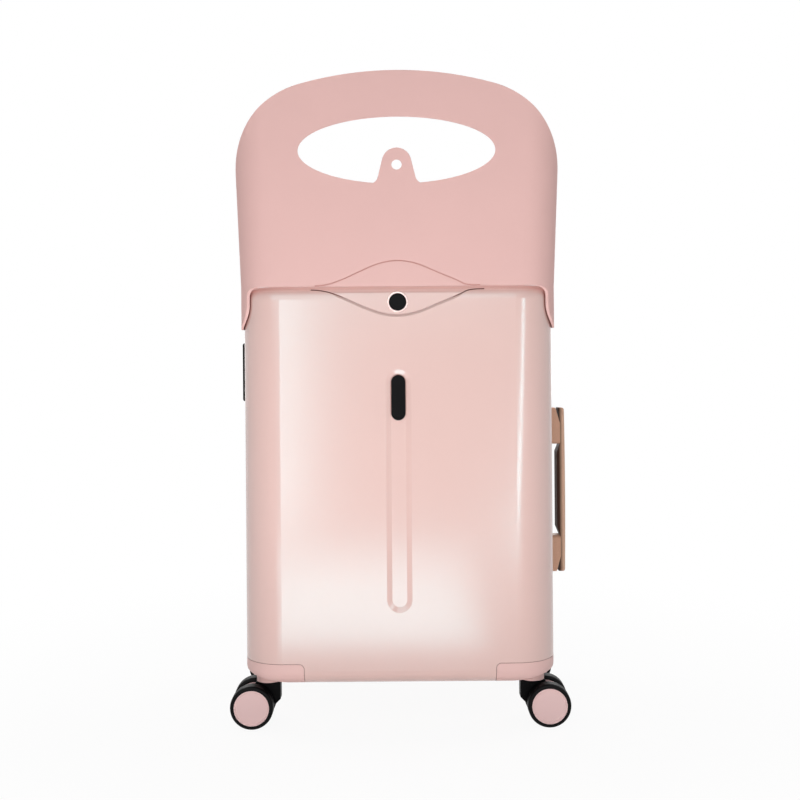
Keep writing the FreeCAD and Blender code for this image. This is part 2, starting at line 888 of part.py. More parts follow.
def tube_pair(outer, inner, z0, z1):
    """Two upright tubes of the telescopic handle."""
    lows = [V(side * tube_spread, trolley_depth, z0) for side in (-1, 1)]
    return joined(tube(outer, inner, low, low + V(0, 0, z1 - z0)) for low in lows)


def pocket_block(grow, above):
    """Block of the handle pocket in the top of the main shell."""
    length = pocket_length / 2 + grow
    piece = block(-length, length, trolley_depth - pocket_front - grow, trolley_depth + pocket_rear + grow,
                  pocket_base, case_top + above)
    return round_along(piece, grip_round + grow, Z_AXIS)


def trolley_collar():
    """Cup that lines the handle pocket, with a flat lip under the shell at its front and ends."""
    body = pocket_block(pocket_wall - seam / 2, 0)
    lip = block(-pocket_length / 2 - pocket_wall - collar_lip, pocket_length / 2 + pocket_wall + collar_lip,
                trolley_depth - pocket_front - pocket_wall - collar_lip,
                trolley_depth + pocket_rear + pocket_wall,
                case_top - wall - collar_thickness, case_top - wall)
    body = body.fuse(round_along(lip, grip_round, Z_AXIS))
    hollow = pocket_block(0, overrun)
    hollow.translate(V(0, 0, pocket_floor))
    body = body.cut(hollow)
    bore = middle_tube_radius + tube_play
    for side in (-1, 1):
        body = body.cut(rod_z(bore, side * tube_spread, trolley_depth, pocket_base - overrun, case_top))
    return body.removeSplitter()


def outer_tubes():
    return tube_pair(outer_tube_radius, middle_tube_radius + tube_play, tube_floor, pocket_base)


def middle_tubes():
    return tube_pair(middle_tube_radius, inner_tube_radius + tube_play, tube_floor + tube_step,
                     pocket_base + pocket_floor + seam)


def tube_guides():
    """Plastic end rings on the middle tubes."""
    base = pocket_base + pocket_floor + seam
    return tube_pair(guide_radius, inner_tube_radius + tube_play, base, base + guide_height)


def inner_tubes():
    bore = inner_tube_radius - tube_wall
    return tube_pair(inner_tube_radius, bore, tube_floor + 2 * tube_step, grip_bottom)


def thumb_block(grow, z0, z1):
    """Thumb button, or grown by its play the well that it sinks in."""
    piece = block_about(0, trolley_depth, thumb_length + 2 * grow, thumb_width + 2 * grow, z0, z1)
    return round_along(piece, thumb_width / 3, Z_AXIS)


def trolley_grip():
    """Rounded bar across the two inner tubes, hollowed for the thumb button."""
    top = grip_bottom + grip_height
    body = block_about(0, trolley_depth, grip_length, grip_width, grip_bottom, top)
    body = round_along(body, grip_round, Z_AXIS)
    body = body.makeFillet(grip_round / 2, edges_level(body, top))
    body = body.makeFillet(grip_round / 4, edges_level(body, grip_bottom))
    well = top + thumb_proud - thumb_height - thumb_stroke - play
    return body.cut(thumb_block(play, well, top + overrun))


def trolley_button():
    top = grip_bottom + grip_height + thumb_proud
    body = thumb_block(0, top - thumb_height, top)
    return body.makeFillet(thumb_proud / 2, edges_level(body, top))


def trolley_foot():
    """Plate on the case floor whose two plugs hold the outer tubes."""
    floor = case_foot + wall
    plate = block_about(0, trolley_depth, foot_length, foot_width, floor, tube_floor)
    plate = round_along(plate, grip_round, Z_AXIS)
    plug = middle_tube_radius + tube_play
    for side in (-1, 1):
        x = side * tube_spread
        plate = plate.fuse(rod_z(plug, x, trolley_depth, tube_floor, tube_floor + foot_plug))
    return plate.removeSplitter()


# Lock

def lock_box():
    """Outer limits of the lock on the left side: x of its face and its y range."""
    y0 = main_rim + lock_setback
    return -half_width - lock_proud, y0, y0 + lock_width


def dial_axis():
    face, y0, y1 = lock_box()
    return face + dial_radius - dial_proud, (y0 + y1) / 2


def dial_height(index):
    return lock_middle + dial_shift + (index - (dial_count - 1) / 2) * dial_pitch


def lock_housing():
    face, y0, y1 = lock_box()
    body = block(face, -half_width, y0, y1, lock_middle - lock_height / 2, lock_middle + lock_height / 2)
    outer = [e for e in body.Edges if e.BoundBox.XMax < face + 1e-4]
    body = body.makeFillet(lock_round, outer)
    x, y = dial_axis()
    for i in range(dial_count):
        z = dial_height(i)
        reach = dial_width / 2 + play
        body = body.cut(rod_z(dial_radius + play, x, y, z - reach, z + reach))
    body = body.cut(dial_shaft())
    body = body.cut(catch_block(play, catch_stroke))
    z = lock_middle - barrel_drop
    return body.cut(rod(barrel_radius + running, V(face - overrun, y, z), V(face + barrel_depth, y, z)))


def dial_shaft():
    x, y = dial_axis()
    reach = dial_width / 2 + dial_shaft_seat
    return rod_z(dial_shaft_radius, x, y, dial_height(0) - reach, dial_height(dial_count - 1) + reach)


def lock_dial(index):
    """Number wheel with a knurled rim."""
    x, y = dial_axis()
    z = dial_height(index)
    half = V(0, 0, dial_width / 2)
    ring = tube(dial_radius, dial_shaft_radius + running, V(x, y, z) - half, V(x, y, z) + half)
    rims = [e for e in ring.Edges if e.BoundBox.XLength > 2 * dial_radius - 1e-3]
    return ring.makeChamfer(dial_width / 6, rims)


def catch_block(grow, travel):
    """Sliding catch, or with a travel the recess that it slides in."""
    face, y0, y1 = lock_box()
    middle = (y0 + y1) / 2
    z = lock_middle - catch_drop
    outside = face - catch_proud
    reach = catch_width / 2 + grow
    return block(outside - grow, outside + catch_thickness + grow, middle - reach, middle + reach,
                 z - catch_length / 2 - grow - travel, z + catch_length / 2 + grow)


def lock_catch():
    return round_along(catch_block(0, 0), catch_proud / 2, Y_AXIS)


def lock_barrel():
    """Key barrel with its slot, flush with the lock's face."""
    face, y0, y1 = lock_box()
    y = (y0 + y1) / 2
    z = lock_middle - barrel_drop
    body = rod(barrel_radius, V(face, y, z), V(face + barrel_depth, y, z))
    reach = barrel_radius * keyway_share
    slot = block(face - overrun, face + keyway_depth, y - keyway_width / 2, y + keyway_width / 2,
                 z - reach, z + reach)
    return body.cut(slot)


# Side handle

def handle_blocks():
    """Two moulded feet of the side handle, which slant away from the bar at their far ends."""
    near = handle_depth - block_width / 2
    far = handle_depth + block_width / 2
    pieces = []
    for step in (-1, 1):
        end = handle_middle + step * handle_length / 2
        root = end - step * block_height
        outline = [(half_width, root), (handle_seat, root), (handle_seat, end - step * block_slant),
                   (handle_seat - block_fall, end), (half_width, end)]
        pieces.append(round_along(prism_y(polygon_xz(outline), near, far), block_round, X_AXIS))
    return joined(pieces)


def handle_bar():
    """Strap with a padded middle, flat where it lies on its feet."""
    outer = half_width + handle_reach
    ends = outer - handle_bow
    high = handle_length / 2
    root = high - block_height
    inside = [(handle_seat - handle_tip, high), (handle_seat, high - block_slant), (handle_seat, root),
              (handle_seat - handle_bulge, root - handle_ramp)]
    inside += [(x, -z) for x, z in reversed(inside)]

    def at(x, z):
        return V(x, 0, handle_middle + z)
    points = [at(x, z) for x, z in [(ends, high)] + inside + [(ends, -high)]]
    edges = [Part.makeLine(a, b) for a, b in zip(points, points[1:])]
    edges.append(arc(points[-1], at(outer, 0), points[0]))
    bar = prism_y(edges, handle_depth - handle_width / 2, handle_depth + handle_width / 2)
    bar = round_along(bar, block_round, X_AXIS)
    return bar.makeFillet(handle_round, [e for e in bar.Edges if e.BoundBox.XMin > ends - 1e-4])


def all_parts():
    parts = {
        "front_shell": front_shell(),
        "front_zip": zip_half(-1),
        "badge_plate": badge_plate(),
        "button_bezel": button_bezel(),
        "button_cup": button_cup(),
        "button_spring": button_spring(),
        "release_button": release_button(),
        "panel_pivot_pins": pivot_pins(),
        "front_guard_screws": guard_screws(-1),
        "backrest_panel": backrest_panel(),
        "panel_bushes": panel_bushes(),
        "main_shell": main_shell(),
        "main_zip": zip_half(1),
        "zip_pulls": zip_pulls(),
        "rear_guard_screws": guard_screws(1),
        "trolley_collar": trolley_collar(),
        "trolley_foot": trolley_foot(),
        "trolley_outer_tubes": outer_tubes(),
        "trolley_middle_tubes": middle_tubes(),
        "trolley_tube_guides": tube_guides(),
        "trolley_inner_tubes": inner_tubes(),
        "trolley_grip": trolley_grip(),
        "trolley_button": trolley_button(),
        "lock_housing": lock_housing(),
        "lock_dial_shaft": dial_shaft(),
        "lock_catch": lock_catch(),
        "lock_barrel": lock_barrel(),
        "side_handle_blocks": handle_blocks(),
        "side_handle_bar": handle_bar(),
    }
    for i in range(dial_count):
        parts[f"lock_dial_{i + 1}"] = lock_dial(i)
    for end, end_name in ((-1, "front"), (1, "rear")):
        for side, side_name in ((-1, "left"), (1, "right")):
            name = f"{end_name}_{side_name}"
            parts[f"{name}_guard"] = corner_guard(side, end)
            parts[f"{name}_fork"] = caster_fork(side, end)
            parts[f"{name}_kingpin"] = kingpin(side, end)
            parts[f"{name}_axle"] = wheel_axle(side, end)
            parts[f"{name}_hubs"] = both_wheels(side, end, hub)
            parts[f"{name}_tyres"] = both_wheels(side, end, tyre)
    return parts


os.makedirs("parts", exist_ok=True)
for part_name, part_shape in all_parts().items():
    part_shape.exportStep(f"parts/{part_name}.step")
    sound = part_shape.isValid() and len(part_shape.Solids) > 0
    print(part_name, len(part_shape.Solids), round(part_shape.Volume), sound)
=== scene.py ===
"""Looks of the ride-on suitcase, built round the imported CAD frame. Metres, front of the case towards -Y."""
import json
import math

import bpy
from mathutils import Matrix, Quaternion, Vector

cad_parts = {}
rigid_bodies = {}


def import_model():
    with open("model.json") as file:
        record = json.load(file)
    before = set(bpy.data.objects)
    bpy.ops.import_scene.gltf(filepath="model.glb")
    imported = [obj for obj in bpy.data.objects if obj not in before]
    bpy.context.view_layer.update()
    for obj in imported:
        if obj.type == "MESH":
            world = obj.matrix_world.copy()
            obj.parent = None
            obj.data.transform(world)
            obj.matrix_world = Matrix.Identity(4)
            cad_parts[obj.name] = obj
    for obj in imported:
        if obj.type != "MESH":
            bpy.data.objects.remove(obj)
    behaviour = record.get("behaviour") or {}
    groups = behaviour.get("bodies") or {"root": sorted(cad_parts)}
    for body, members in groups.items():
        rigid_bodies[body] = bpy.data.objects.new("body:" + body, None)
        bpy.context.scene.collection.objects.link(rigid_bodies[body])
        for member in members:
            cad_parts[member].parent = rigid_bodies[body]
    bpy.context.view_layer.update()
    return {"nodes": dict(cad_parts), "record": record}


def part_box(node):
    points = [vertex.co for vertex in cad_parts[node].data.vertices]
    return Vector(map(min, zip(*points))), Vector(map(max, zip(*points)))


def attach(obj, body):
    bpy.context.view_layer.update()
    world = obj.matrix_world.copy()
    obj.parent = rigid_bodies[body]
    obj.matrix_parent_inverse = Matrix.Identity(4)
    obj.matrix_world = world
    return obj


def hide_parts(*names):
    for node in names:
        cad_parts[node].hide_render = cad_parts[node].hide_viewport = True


for leftover in list(bpy.data.objects):
    bpy.data.objects.remove(leftover)
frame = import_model()
nodes = frame["nodes"]

# Case that the added pieces follow
HALF_WIDTH = 0.178
CASE_FOOT = 0.056
CASE_TOP = 0.506
EDGE_RADIUS = 0.016
WALL = 0.0032
LID_CENTRE = (0.0, -0.060, 0.281)
MAIN_CENTRE = (0.0, -0.020, 0.281)
STRAP_SHADE_SPAN = (0.1958, 0.2002)  # X where the painted shade across the side handle's strap is darkest and where it gives way to the full leather colour

# Zip
ZIP_PLANE = -0.042
CORNER_STEPS = 4
TAPE_GAP = 0.0002
TAPE_REACH = 0.0115
TAPE_THICKNESS = 0.0014
TAPE_STEP = 0.006
TAPE_SLOPE = 0.0006
TAPE_EDGE_DROP = 0.0003
RIDGE_WIDTH = 0.0030
RIDGE_HEIGHT = 0.0004
TOOTH_PITCH = 0.0024
TOOTH_WIDTH = 0.72 * TOOTH_PITCH
TOOTH_HEIGHT = 0.0024
TOOTH_SHOULDER = 0.62 * TOOTH_HEIGHT
TOOTH_START = TAPE_GAP + 0.0001
TOOTH_DEPTH = 0.0026
TOOTH_TAPERS = ((TOOTH_START, 0.8), (TOOTH_DEPTH / 2, 1.0), (TOOTH_DEPTH, 0.7))  # depth, share of the width
TOOTH_HEIGHT_TAPER = 0.45  # share of that taper which the height follows

# Figures on the lock's dials
FIGURES = 10
FIGURE_SIZE = 0.0040
FIGURE_RISE = 0.00012
FIGURE_HALF_THICKNESS = 0.00004
FIGURE_CURVE_STEPS = 3

# Stage and camera
FLOOR_REACH = 12.0
FLOOR_WHITE = (0.92, 0.92, 0.92, 1.0)
SHADOW_REACH = (0.20, 0.90)  # distances from the middle over which the floor's shadow fades out
SHADOW_GLOW = 0.93  # share of the white background in the floor before that
WORLD_WHITE = (1.0, 1.0, 1.0, 1.0)
WORLD_FILL = 0.10
IMAGE_SIZE = 800
FOCAL_PIXELS = 1129
SHIFT_PIXELS = (2, -43)
SENSOR_WIDTH = 36.0
CAMERA_PLACE = (0, -1.400, 0.425)
CAMERA_ROLL = math.radians(0.44)

# Sockets of Blender's Mix node for colours
MIX_FACTOR, MIX_A, MIX_B, MIX_RESULT = 0, 6, 7, 2


def linear(r, g, b):
    """Linear colour of 8-bit display values."""
    def one(c):
        c = c / 255
        return c / 12.92 if c <= 0.04045 else ((c + 0.055) / 1.055) ** 2.4
    return one(r), one(g), one(b)


def shade(colour, level, power=1.0):
    """Colour at another level; a power above 1 makes it fuller as well as darker."""
    return tuple(level * c ** power for c in colour)


# Materials

class Nodes:
    """Short calls for building a node tree; a value is a plain one or another node's output."""

    def __init__(self, tree):
        self.tree = tree

    def feed(self, socket, value):
        if isinstance(value, bpy.types.NodeSocket):
            self.tree.links.new(value, socket)
        else:
            socket.default_value = value

    def add(self, kind, inputs):
        """New node, with its inputs given by name or number."""
        node = self.tree.nodes.new("ShaderNode" + kind)
        for key, value in inputs.items():
            self.feed(node.inputs[key], value)
        return node

    def math(self, kind, a, b):
        node = self.add("Math", {0: a, 1: b})
        node.operation = kind
        return node.outputs["Value"]

    def span(self, value, low, high, start=0.0, end=1.0):
        """Runs from low to high while the value goes from start to end."""
        node = self.add("MapRange", {"Value": value, "From Min": start, "From Max": end,
                                     "To Min": low, "To Max": high})
        return node.outputs["Result"]

    def seen_directly(self):
        """1 for the camera's rays and for those of reflections and of glass."""
        paths = self.add("LightPath", {}).outputs
        mirrored = self.math("MAXIMUM", paths["Is Glossy Ray"], paths["Is Transmission Ray"])
        return self.math("MAXIMUM", paths["Is Camera Ray"], mirrored)


class Shader(Nodes):
    """One procedural material, with short calls for the patterns it is made of."""

    def __init__(self, name):
        self.material = bpy.data.materials.new(name)
        self.material.use_nodes = True
        super().__init__(self.material.node_tree)
        self.bsdf = self.tree.nodes["Principled BSDF"]
        self.coords = self.add("TexCoord", {}).outputs

    def set(self, name, value):
        """Feed an input of the shader itself."""
        self.feed(self.bsdf.inputs[name], value)

    def noise(self, scale, detail=2.0, stretch=(1, 1, 1)):
        place = self.add("Mapping", {"Vector": self.coords["Object"], "Scale": stretch})
        node = self.add("TexNoise", {"Vector": place.outputs["Vector"], "Scale": scale, "Detail": detail})
        return node.outputs["Fac"]

    def cells(self, scale):
        """Distance to the edges of small cells."""
        node = self.add("TexVoronoi", {"Vector": self.coords["Object"], "Scale": scale})
        node.feature = "DISTANCE_TO_EDGE"
        return node.outputs["Distance"]

    def bands(self, scale, direction):
        node = self.add("TexWave", {"Vector": self.coords["Object"], "Scale": scale})
        node.bands_direction = direction
        return node.outputs["Fac"]

    def weave(self, scale, warp, weft):
        """Crossed threads along two axes."""
        return self.math("MULTIPLY", self.bands(scale, warp), self.bands(scale, weft))

    def mix(self, factor, a, b):
        """Colour a where the factor is 0, and colour b where it is 1."""
        node = self.tree.nodes.new("ShaderNodeMix")
        node.data_type = "RGBA"
        for number, value in ((MIX_FACTOR, factor), (MIX_A, a), (MIX_B, b)):
            self.feed(node.inputs[number], (*value, 1.0) if isinstance(value, tuple) else value)
        return node.outputs[MIX_RESULT]

    def tinted(self, colour, value, spread):
        """Colour that wanders a little with the value."""
        bright = tuple(min(1.0, c) for c in shade(colour, 1 + spread))
        return self.mix(value, shade(colour, 1 - spread), bright)

    def openness(self, reach=0.003):
        """0 in joints and grooves, where the materials paint shade and the shell gathers dust, and 1 on open
        surfaces.
        """
        node = self.add("AmbientOcclusion", {"Distance": reach})
        node.samples = 8
        return self.span(node.outputs["AO"], low=0.0, high=1.0, start=0.25, end=0.75)

    def bump(self, height, distance, edge=0.0):
        """Fine relief, over edges that are rounded by the edge radius."""
        node = self.add("Bump", {"Height": height, "Distance": distance})
        if edge:
            rounded = self.add("Bevel", {"Radius": edge})
            rounded.samples = 4
            self.feed(node.inputs["Normal"], rounded.outputs["Normal"])
        self.set("Normal", node.outputs["Normal"])

    def dot(self, a, b):
        node = self.add("VectorMath", {0: a, 1: b})
        node.operation = "DOT_PRODUCT"
        return node.outputs["Value"]

    def faces(self, direction, least):
        """1 where the surface looks along the direction."""
        return self.math("GREATER_THAN", self.dot(self.coords["Normal"], direction), least)

    def faces_inward(self, centre):
        """1 where the surface looks towards the inside of the case."""
        away = self.add("VectorMath", {0: self.coords["Object"], 1: centre})
        away.operation = "SUBTRACT"
        return self.math("LESS_THAN", self.dot(away.outputs["Vector"], self.coords["Normal"]), 0.0)


def deep(colour):
    """Painted shade: the plastic's colour, darker and fuller, for grooves and joints."""
    return shade(colour, level=0.62, power=2.6)


def plastic(name, colour, rough, grain, relief, spread=0.025, shine=0.5, edge=0.0006, groove=None):
    """Moulded plastic: faint clouding, uneven gloss, a fine moulded grain, and painted shade in grooves and
    joints.
    """
    s = Shader(name)
    skin = s.tinted(colour, s.noise(scale=14.0, detail=3.0), spread)
    # Painted shade: the groove colour where ambient occlusion finds joints and grooves
    s.set("Base Color", s.mix(s.openness(), groove or deep(colour), skin))
    s.set("Roughness", s.span(s.noise(scale=60.0, detail=3.0), low=0.88 * rough, high=1.12 * rough))
    s.set("Specular IOR Level", shine)
    s.bump(s.noise(grain), relief, edge)
    return s.material


def shell_plastic(name, colour, lining, centre):
    """Pearly skin of a shell, dulled on top by sitting, with painted shade in grooves and joints and a woven
    lining on the faces that look inside.
    """
    s = Shader(name)
    inside = s.faces_inward(centre)
    outside = s.math("SUBTRACT", 1.0, inside)
    open_face = s.openness(reach=0.007)
    skin = s.tinted(colour, s.noise(scale=7.0, detail=3.0), spread=0.02)
    cloth = s.tinted(lining, s.weave(420.0, "X", "Z"), spread=0.16)
    # Painted shade: darker colour where ambient occlusion finds joints and grooves within 7 mm
    s.set("Base Color", s.mix(open_face, deep(colour), s.mix(inside, skin, cloth)))
    gloss = s.span(s.noise(scale=45.0, detail=3.0), low=0.17, high=0.21)
    groove_dust = s.span(open_face, low=0.85, high=0.0)
    worn = s.span(s.noise(scale=30.0, detail=4.0), low=0.50, high=0.70)
    seat_wear = s.math("MULTIPLY", s.faces((0, 0, 1), least=0.6), worn)
    cloth_dullness = s.math("MULTIPLY", inside, 0.9)
    for dulling in (groove_dust, seat_wear, cloth_dullness):
        gloss = s.math("MAXIMUM", gloss, dulling)
    s.set("Roughness", gloss)
    s.set("Specular IOR Level", 1.0)
    s.set("Specular Tint", (0.45, 0.95, 1.0, 1.0))
    s.bump(s.math("MULTIPLY", s.noise(scale=900.0), outside), distance=0.00002, edge=0.0006)
    return s.material


def metal(name, colour, rough, stretch):
    """Drawn or turned metal with fine lines along the stretch."""
    s = Shader(name)
    lines = s.noise(scale=900.0, detail=3.0, stretch=stretch)
    s.set("Base Color", s.tinted(colour, lines, spread=0.05))
    s.set("Roughness", s.span(lines, low=0.75 * rough, high=1.25 * rough))
    s.set("Metallic", 1.0)
    s.bump(lines, distance=0.00001)
    return s.material


def leather(name, colour, shade_span=None):
    """Leather with a fine pebble grain, with painted shade on faces towards the case, in joints and grooves,
    and across a given span in X towards the case.
    """
    s = Shader(name)
    pebble = s.span(s.cells(1100.0), low=0.0, high=1.0, start=0.0, end=0.12)
    top = s.tinted(colour, s.noise(scale=50.0, detail=3.0), spread=0.07)
    skin = s.mix(pebble, shade(colour, level=0.84), top)
    # Painted shade: faces that look towards the case (-X) are darkened
    skin = s.mix(s.faces((-1, 0, 0), least=0.5), skin, shade(colour, level=0.12, power=2))
    if shade_span:
        # Painted shade across the strap: darkest at the first X of the span, full colour from the second on
        x = s.dot(s.coords["Object"], (1, 0, 0))
        depth = s.span(x, low=0.0, high=1.0, start=shade_span[0], end=shade_span[1])
        skin = s.mix(depth, shade(colour, level=0.08, power=3), skin)
        s.set("Specular IOR Level", 0.15)
    # Painted shade where ambient occlusion finds joints and grooves
    s.set("Base Color", s.mix(s.openness(), shade(colour, level=0.10, power=2), skin))
    s.set("Roughness", s.span(s.noise(scale=300.0), low=0.42, high=0.58))
    s.bump(pebble, distance=0.00005, edge=0.0008)
    return s.material


def webbing(name, colour):
    """Woven zip tape."""
    s = Shader(name)
    threads = s.weave(700.0, "Y", "Z")
    s.set("Base Color", s.tinted(colour, threads, spread=0.20))
    s.set("Roughness", s.span(threads, low=0.75, high=0.95))
    s.set("Sheen Weight", 0.15)
    s.bump(threads, distance=0.00012)
    return s.material


def rubber(name, colour):
    """Wheel rubber, duller and a little dusty in patches."""
    s = Shader(name)
    dust = s.noise(scale=120.0, detail=4.0)
    s.set("Base Color", s.tinted(colour, dust, spread=0.35))
    s.set("Roughness", s.span(dust, low=0.42, high=0.62))
    s.set("Specular IOR Level", 0.10)
    s.bump(s.noise(scale=1500.0), distance=0.00003)
    return s.material


PINK = linear(231, 190, 182)
PANEL_PINK = linear(231, 189, 184)
# Painted shade for the panel's grooves and joints
PANEL_GROOVE_SHADE = linear(206, 142, 130)
TRIM_PINK = linear(232, 194, 189)
HUB_PINK = linear(236, 202, 200)
LINING = linear(196, 158, 152)
BLACK = linear(5, 5, 6)
materials = {
    "shell_pink": shell_plastic("main_skin", PINK, LINING, MAIN_CENTRE),
    "panel_pink": plastic("panel_plastic", PANEL_PINK, rough=0.62, grain=800.0, relief=0.00002,
                          shine=0.2, edge=0.0002, groove=PANEL_GROOVE_SHADE),
    "trim_pink": plastic("trim_plastic", TRIM_PINK, rough=0.48, grain=900.0, relief=0.00002, shine=0.3),
    "hub_pink": plastic("hub_plastic", HUB_PINK, rough=0.45, grain=900.0, relief=0.00002, shine=0.3),
    "black_plastic": plastic("black_plastic", BLACK, rough=0.45, grain=1400.0, relief=0.00004,
                             spread=0.10, shine=0.06),
    "badge_black": plastic("badge_gloss", linear(6, 6, 8), rough=0.30, grain=500.0, relief=0.00001,
                           spread=0.10, shine=0.08),
    "dial_black": plastic("dial_plastic", linear(34, 33, 35), rough=0.40, grain=1400.0, relief=0.00003,
                          spread=0.10),
    "bright_ring": metal("bright_ring", linear(212, 190, 186), rough=0.24, stretch=(1, 1, 1)),
    "steel": metal("plain_steel", linear(190, 190, 192), rough=0.30, stretch=(1, 1, 0.1)),
    "tube_aluminium": metal("tube_aluminium", linear(214, 212, 211), rough=0.30, stretch=(1, 1, 0.02)),
    "zip_fabric": webbing("zip_tape", linear(205, 160, 153)),
    "tan_leather": leather("tan_leather", linear(218, 172, 144)),
    "tyre_black": rubber("tyre_rubber", BLACK),
}
lid_skin = shell_plastic("lid_skin", PINK, LINING, LID_CENTRE)
strap_leather = leather("strap_leather", linear(226, 188, 162), STRAP_SHADE_SPAN)
tooth_plastic = plastic("zip_teeth", linear(190, 146, 140), rough=0.38, grain=1200.0, relief=0.00002)
figure_paint = plastic("dial_figures", linear(226, 224, 222), rough=0.5, grain=1200.0, relief=0.00001)


def paint(obj, material):
    obj.data.materials.clear()
    obj.data.materials.append(material)


for row in frame["record"]["subparts"]:
    paint(nodes[row["node"]], materials[row["material_slot"]])
paint(nodes["front_shell"], lid_skin)
paint(nodes["side_handle_bar"], strap_leather)


# Pieces

def new_object(name, data):
    obj = bpy.data.objects.new(name, data)
    bpy.context.scene.collection.objects.link(obj)
    return obj


def new_piece(name, verts, faces, material, body):
    """Mesh that rides on a body of the frame, painted with the given material."""
    mesh = bpy.data.meshes.new(name)
    mesh.from_pydata([tuple(v) for v in verts], [], faces)
    mesh.validate()
    mesh.update()
    obj = new_object(name, mesh)
    paint(obj, material)
    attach(obj, body)
    return obj


def case_ring(inset, step):
    """Evenly spaced (x, z) places round the case at an inset, each with its outward direction."""
    half = HALF_WIDTH - inset
    low, high = CASE_FOOT + inset, CASE_TOP - inset
    r = EDGE_RADIUS - inset
    side, foot, top = half - r, low + r, high - r
    straights = [((half, foot), (half, top)), ((side, high), (-side, high)),
                 ((-half, top), (-half, foot)), ((-side, low), (side, low))]
    corners = [(side, top), (-side, top), (-side, foot), (side, foot)]
    quarter = math.pi / 2
    places = []
    for i, (((xa, za), (xb, zb)), (xc, zc)) in enumerate(zip(straights, corners)):
        out = (math.cos(i * quarter), math.sin(i * quarter))
        count = max(1, round(math.dist((xa, za), (xb, zb)) / step))
        for k in range(count):
            t = k / count
            places.append(((xa + (xb - xa) * t, za + (zb - za) * t), out))
        count = max(CORNER_STEPS, round(r * quarter / step))
        for k in range(count):
            angle = (i + k / count) * quarter
            out = (math.cos(angle), math.sin(angle))
            places.append(((xc + r * out[0], zc + r * out[1]), out))
    return places


def outward(faces, end):
    """Faces turned to look outwards: the lid's half of the zip is a mirror image of the main one."""
    return faces if end > 0 else [face[::-1] for face in faces]


def zip_tape(end):
    """Tape of one half of the zip, with a ridge along the teeth; end -1 is the lid's half."""
    near, far = TAPE_GAP, TAPE_REACH
    low, flat = -TAPE_THICKNESS, -RIDGE_HEIGHT
    section = [(near, low), (near, 0.0), (near + RIDGE_WIDTH, 0.0), (near + RIDGE_WIDTH + TAPE_SLOPE, flat),
               (far - TAPE_SLOPE, flat), (far, flat - TAPE_EDGE_DROP), (far, low)]
    ring = case_ring(WALL, TAPE_STEP)
    verts = [(x + ox * rise, ZIP_PLANE + end * depth, z + oz * rise)
             for (x, z), (ox, oz) in ring for depth, rise in section]
    faces = []
    n = len(section)
    for i in range(len(ring)):
        j = (i + 1) % len(ring)
        for k in range(n):
            m = (k + 1) % n
            faces.append((i * n + k, j * n + k, j * n + m, i * n + m))
    return verts, outward(faces, end)


def zip_teeth(end):
    """Row of moulded teeth on three sides; the right side is the cloth hinge of the lid."""
    half = TOOTH_WIDTH / 2
    profile = [(-half, 0.0), (-half, TOOTH_SHOULDER), (-half / 2, TOOTH_HEIGHT),
               (half / 2, TOOTH_HEIGHT), (half, TOOTH_SHOULDER), (half, 0.0)]
    n = len(profile)
    shift = 0.5 if end > 0 else 0.0  # the teeth of one half stand between those of the other
    ring = case_ring(WALL, TOOTH_PITCH)
    verts, faces = [], []
    for i, ((xa, za), (ox, oz)) in enumerate(ring):
        (xb, zb), _ = ring[(i + 1) % len(ring)]
        x, z = xa + (xb - xa) * shift, za + (zb - za) * shift
        if x > HALF_WIDTH - EDGE_RADIUS and CASE_FOOT + EDGE_RADIUS < z < CASE_TOP - EDGE_RADIUS:
            continue
        base = len(verts)
        for depth, taper in TOOTH_TAPERS:
            for across, rise in profile:
                s = across * taper
                h = rise * (1 - TOOTH_HEIGHT_TAPER * (1 - taper))
                verts.append((x - oz * s + ox * h, ZIP_PLANE + end * depth, z + ox * s + oz * h))
        for a in (base, base + n):
            for k in range(n):
                m = (k + 1) % n
                faces.append((a + k, a + m, a + n + m, a + n + k))
        faces.append(tuple(base + k for k in reversed(range(n))))
        faces.append(tuple(base + 2 * n + k for k in range(n)))
    return verts, outward(faces, end)


for end, body, node in ((-1, "lid", "front_zip"), (1, "main_case", "main_zip")):
    verts, faces = zip_tape(end)
    tape = new_piece(f"zip_tape_{body}", verts, faces, materials["zip_fabric"], body)
    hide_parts(node)
    verts, faces = zip_teeth(end)
    new_piece(f"zip_teeth_{body}", verts, faces, tooth_plastic, body)


def figure_mesh(digit):
    """Mesh of one figure, upright in its own XY plane."""
    curve = bpy.data.curves.new("figure", "FONT")
    curve.body = str(digit)
    curve.size = FIGURE_SIZE
    curve.extrude = FIGURE_HALF_THICKNESS
    curve.align_x = "CENTER"
    curve.align_y = "CENTER"
    curve.resolution_u = FIGURE_CURVE_STEPS
    text = new_object("figure", curve)
    bpy.context.view_layer.update()
    mesh = bpy.data.meshes.new_from_object(text.evaluated_get(bpy.context.evaluated_depsgraph_get()))
    bpy.data.objects.remove(text)
    return mesh


def dial_figures(index):
    """Figures round one dial of the lock, as one mesh."""
    low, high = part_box(f"lock_dial_{index}")
    centre = (low + high) / 2
    radius = (high.x - low.x) / 2 + FIGURE_RISE
    up = Vector((0, 0, 1))
    verts, faces = [], []
    for digit in range(FIGURES):
        mesh = figure_mesh(digit)
        turn = 2 * math.pi * digit / FIGURES
        normal = Vector((-math.cos(turn), math.sin(turn), 0))
        right = up.cross(normal)
        base = len(verts)
        for v in mesh.vertices:
            verts.append(centre + normal * (radius + v.co.z) + right * v.co.x + up * v.co.y)
        faces.extend(tuple(base + i for i in p.vertices) for p in mesh.polygons)
        bpy.data.meshes.remove(mesh)
    return verts, faces


for index in (1, 2, 3):
    verts, faces = dial_figures(index)
    new_piece(f"dial_figures_{index}", verts, faces, figure_paint, f"dial_{index}")


# Stage, light and camera

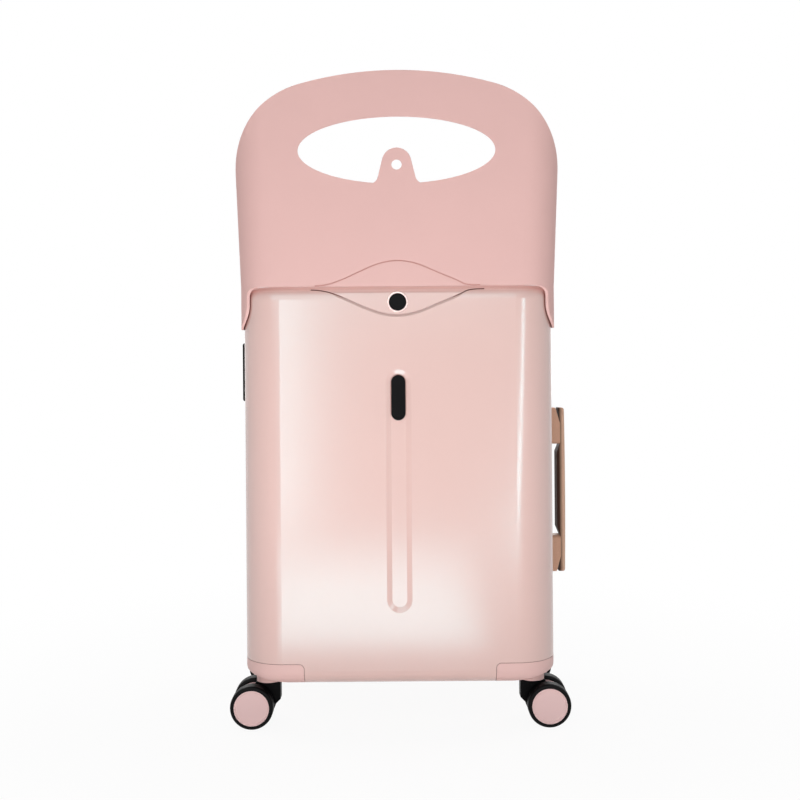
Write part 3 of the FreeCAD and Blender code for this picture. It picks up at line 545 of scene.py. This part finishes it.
def soft_floor():
    """Pale floor that keeps the shadow near the object and runs into the white background."""
    r = FLOOR_REACH
    mesh = bpy.data.meshes.new("floor")
    mesh.from_pydata([(-r, -r, 0), (r, -r, 0), (r, r, 0), (-r, r, 0)], [], [(0, 1, 2, 3)])
    floor = new_object("floor", mesh)
    s = Shader("floor_white")
    s.set("Base Color", FLOOR_WHITE)
    s.set("Roughness", 0.9)
    s.set("Specular IOR Level", 0.1)
    distance = s.add("VectorMath", {0: s.coords["Object"]})
    distance.operation = "LENGTH"
    near, far = SHADOW_REACH
    fade = s.add("MapRange", {"Value": distance.outputs["Value"], "From Min": near, "From Max": far,
                              "To Min": SHADOW_GLOW, "To Max": 1.0})
    fade.interpolation_type = "SMOOTHSTEP"
    shown = s.math("MULTIPLY", fade.outputs["Result"], s.seen_directly())
    glow = s.add("Emission", {"Strength": 1.0})
    mixed = s.add("MixShader", {"Fac": shown, 1: s.bsdf.outputs["BSDF"], 2: glow.outputs["Emission"]})
    s.feed(s.tree.nodes["Material Output"].inputs["Surface"], mixed.outputs["Shader"])
    paint(floor, s.material)


def white_world():
    """White for what the camera and the reflections see, and a plain fill light for the rest."""
    world = bpy.data.worlds.new("studio")
    bpy.context.scene.world = world
    world.use_nodes = True
    n = Nodes(world.node_tree)
    background = n.tree.nodes["Background"].inputs
    n.feed(background["Color"], WORLD_WHITE)
    n.feed(background["Strength"], n.span(n.seen_directly(), low=WORLD_FILL, high=1.0))


def softbox(name, place, target, width, height, watts, roll=0.0):
    """Rectangular lamp that looks at the target, rolled about that line."""
    data = bpy.data.lights.new(name, "AREA")
    data.shape = "RECTANGLE"
    data.size = width
    data.size_y = height
    data.energy = watts
    lamp = new_object(name, data)
    lamp.location = place
    lamp.rotation_mode = "QUATERNION"
    aim = (Vector(target) - Vector(place)).to_track_quat("-Z", "Y")
    lamp.rotation_quaternion = aim @ Quaternion((0, 0, 1), roll)


soft_floor()
white_world()
# Front: the narrow lamps and the floor patch are the streaks and the glow that the lid reflects
softbox("left_box", (-0.31, -1.55, 0.15), (0, 0, 0.20), width=0.17, height=1.0, watts=3.0)
softbox("front_fill", (-0.50, -2.40, 1.55), (0, 0, 0.40), width=2.0, height=2.0, watts=22.0)
softbox("right_strip", (0.49, -1.35, 0.21), (0, 0, 0.35), width=0.06, height=1.2, watts=3.6,
        roll=math.radians(-42))
softbox("low_fill", (-0.12, -0.85, 0.05), (0, 0, 0.12), width=0.5, height=0.08, watts=0.35)
softbox("floor_patch", (-0.06, -0.66, 0.02), (-0.06, -0.66, 1.0), width=0.36, height=0.44, watts=2.1)
# Sides and back, at the level of the front
for side in (-1, 1):
    softbox(f"high_fill_{side}", (side * 1.70, 0.90, 2.20), (0, 0, 0.30), width=1.6, height=1.6, watts=20.0)
softbox("rear_fill", (0, 2.80, 1.20), (0, 0, 0.30), width=2.4, height=2.0, watts=32.0)

camera = new_object("camera", bpy.data.cameras.new("camera"))
camera.location = CAMERA_PLACE
camera.rotation_euler = (math.pi / 2, CAMERA_ROLL, 0)
camera.data.sensor_width = SENSOR_WIDTH
camera.data.lens = SENSOR_WIDTH * FOCAL_PIXELS / IMAGE_SIZE
camera.data.shift_x = SHIFT_PIXELS[0] / IMAGE_SIZE
camera.data.shift_y = SHIFT_PIXELS[1] / IMAGE_SIZE
bpy.context.scene.camera = camera
bpy.context.scene.view_settings.view_transform = "Standard"
